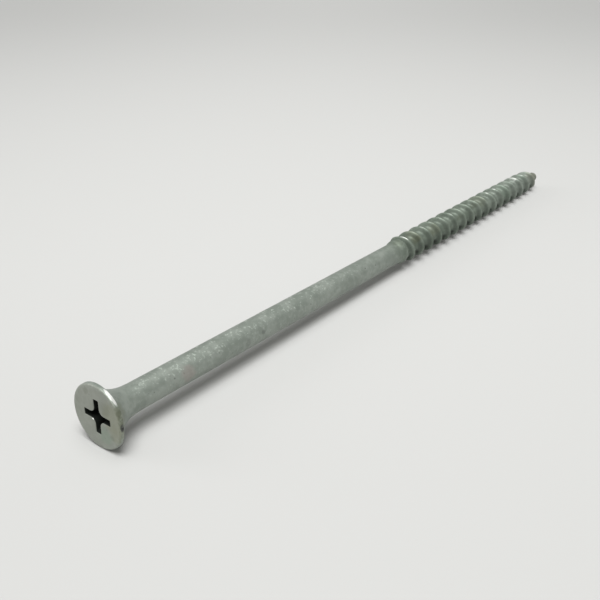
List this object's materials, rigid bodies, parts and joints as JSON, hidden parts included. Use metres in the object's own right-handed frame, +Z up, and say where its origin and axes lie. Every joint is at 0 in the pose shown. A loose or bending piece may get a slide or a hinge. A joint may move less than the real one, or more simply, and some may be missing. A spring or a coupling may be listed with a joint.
{
  "type": "deck screw",
  "caption": "Long galvanised deck screw with a countersunk bugle head, a cross recess, a plain shank and a coarse wood thread with a blunt point, lying at rest.",
  "frame": {"origin": "centre of the bounding box in X and Y, on the surface that the screw lies on", "axes": "+X runs along the screw from the head toward the point, +Z up, +Y to the left when looking from head to point"},
  "size_m": [0.127, 0.009, 0.009],
  "materials": {
    "galvanised_zinc": "matt grey-green hot-dip galvanised zinc, lumpy and speckled, with worn bright spots on the rim of the head and on the thread crests"
  },
  "bodies": {
    "root": {"deck_screw": "galvanised_zinc"}
  },
  "joints": []
}
